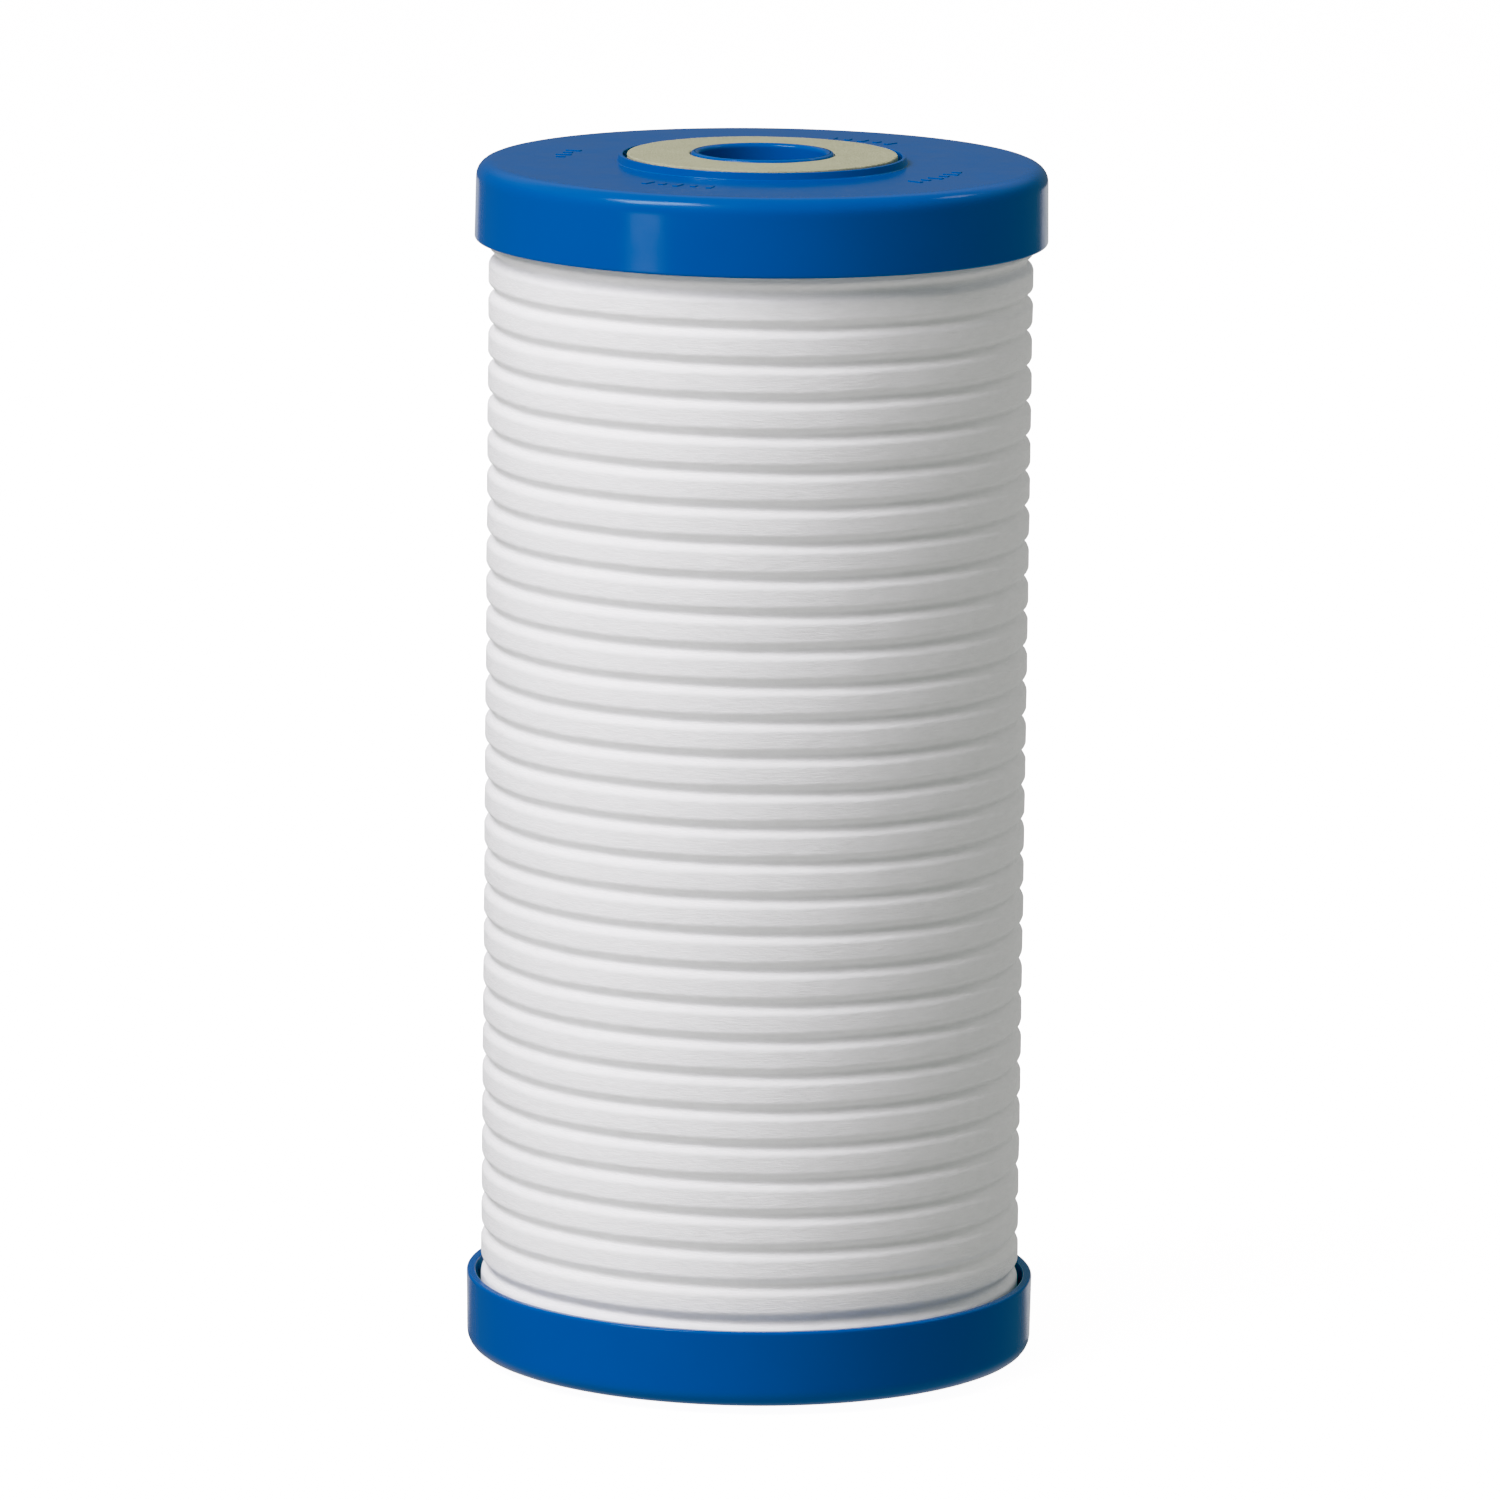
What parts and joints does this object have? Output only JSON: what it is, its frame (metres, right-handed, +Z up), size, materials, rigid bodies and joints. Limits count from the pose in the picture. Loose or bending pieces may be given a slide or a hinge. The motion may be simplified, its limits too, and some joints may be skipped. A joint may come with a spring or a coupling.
{
  "type": "grooved depth filter cartridge",
  "caption": "Cylindrical grooved fibre water filter cartridge with blue moulded end caps, a through bore and a foam sealing gasket at each end.",
  "frame": {"origin": "centre of the bore on the sealing face of the lower gasket, which is the centre of the bottom of the bounding box", "axes": "+Z up the cartridge's own axis, from the lower gasket to the upper one; the object is round, so X and Y are any two directions across it"},
  "size_m": [0.1156, 0.1156, 0.2476],
  "materials": {
    "cap": "injection-moulded blue polypropylene, satin to semi-gloss",
    "gasket": "matte cream closed-cell foam",
    "adhesive": "dull translucent film",
    "hot_melt": "cloudy solidified hot melt",
    "media_outer": "white melt-blown fibre, lightly calendered ridges between turned grooves",
    "media_inner": "white melt-blown fibre",
    "core": "natural moulded polypropylene"
  },
  "bodies": {
    "root": {"top_end_cap": "cap", "bottom_end_cap": "cap", "top_gasket": "gasket", "bottom_gasket": "gasket", "top_gasket_adhesive": "adhesive", "bottom_gasket_adhesive": "adhesive", "top_cap_bond": "hot_melt", "bottom_cap_bond": "hot_melt", "media_grooved_layer": "media_outer", "media_coarse_layer": "media_inner", "media_medium_layer": "media_inner", "media_fine_layer": "media_inner", "core": "core"}
  },
  "joints": []
}
